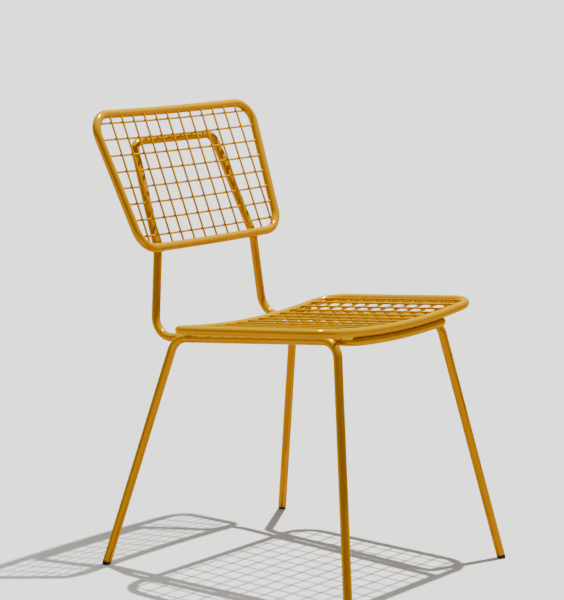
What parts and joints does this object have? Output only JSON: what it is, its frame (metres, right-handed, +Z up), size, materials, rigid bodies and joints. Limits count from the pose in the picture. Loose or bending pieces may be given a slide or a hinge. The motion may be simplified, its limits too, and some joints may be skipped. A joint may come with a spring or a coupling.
{
  "type": "wire mesh side chair",
  "caption": "Dining side chair of bent steel tube with splayed legs, and welded wire mesh filling its dipped seat ring and its leaning back ring.",
  "frame": {"origin": "on the floor, in the middle of the chair's width and depth", "axes": "+Z up, the sitter faces -Y, +X is to the viewer's right when the chair is seen from the front"},
  "size_m": [0.5286, 0.6195, 0.8232],
  "materials": {
    "frame_paint": "glossy golden yellow powder coat on steel tube and wire",
    "foot_plastic": "black moulded plastic foot cap"
  },
  "bodies": {
    "root": {"side_frame_left": "frame_paint", "side_frame_right": "frame_paint", "seat_ring": "frame_paint", "back_ring": "frame_paint", "support_loop": "frame_paint", "foot_cap_rear_left": "foot_plastic", "foot_cap_rear_right": "foot_plastic", "foot_cap_front_left": "foot_plastic", "foot_cap_front_right": "foot_plastic", "seat_long_wire_01": "frame_paint", "seat_long_wire_02": "frame_paint", "seat_long_wire_03": "frame_paint", "seat_long_wire_04": "frame_paint", "seat_long_wire_05": "frame_paint", "seat_long_wire_06": "frame_paint", "seat_long_wire_07": "frame_paint", "seat_long_wire_08": "frame_paint", "seat_long_wire_09": "frame_paint", "seat_long_wire_10": "frame_paint", "seat_long_wire_11": "frame_paint", "seat_long_wire_12": "frame_paint", "seat_long_wire_13": "frame_paint", "seat_long_wire_14": "frame_paint", "seat_cross_wire_01": "frame_paint", "seat_cross_wire_02": "frame_paint", "seat_cross_wire_03": "frame_paint", "seat_cross_wire_04": "frame_paint", "seat_cross_wire_05": "frame_paint", "seat_cross_wire_06": "frame_paint", "seat_cross_wire_07": "frame_paint", "seat_cross_wire_08": "frame_paint", "seat_cross_wire_09": "frame_paint", "seat_cross_wire_10": "frame_paint", "seat_cross_wire_11": "frame_paint", "back_upright_wire_01": "frame_paint", "back_upright_wire_02": "frame_paint", "back_upright_wire_03": "frame_paint", "back_upright_wire_04": "frame_paint", "back_upright_wire_05": "frame_paint", "back_upright_wire_06": "frame_paint", "back_upright_wire_07": "frame_paint", "back_upright_wire_08": "frame_paint", "back_upright_wire_09": "frame_paint", "back_upright_wire_10": "frame_paint", "back_upright_wire_11": "frame_paint", "back_upright_wire_12": "frame_paint", "back_cross_wire_01": "frame_paint", "back_cross_wire_02": "frame_paint", "back_cross_wire_03": "frame_paint", "back_cross_wire_04": "frame_paint", "back_cross_wire_05": "frame_paint", "back_cross_wire_06": "frame_paint", "back_cross_wire_07": "frame_paint", "back_cross_wire_08": "frame_paint"}
  },
  "joints": []
}
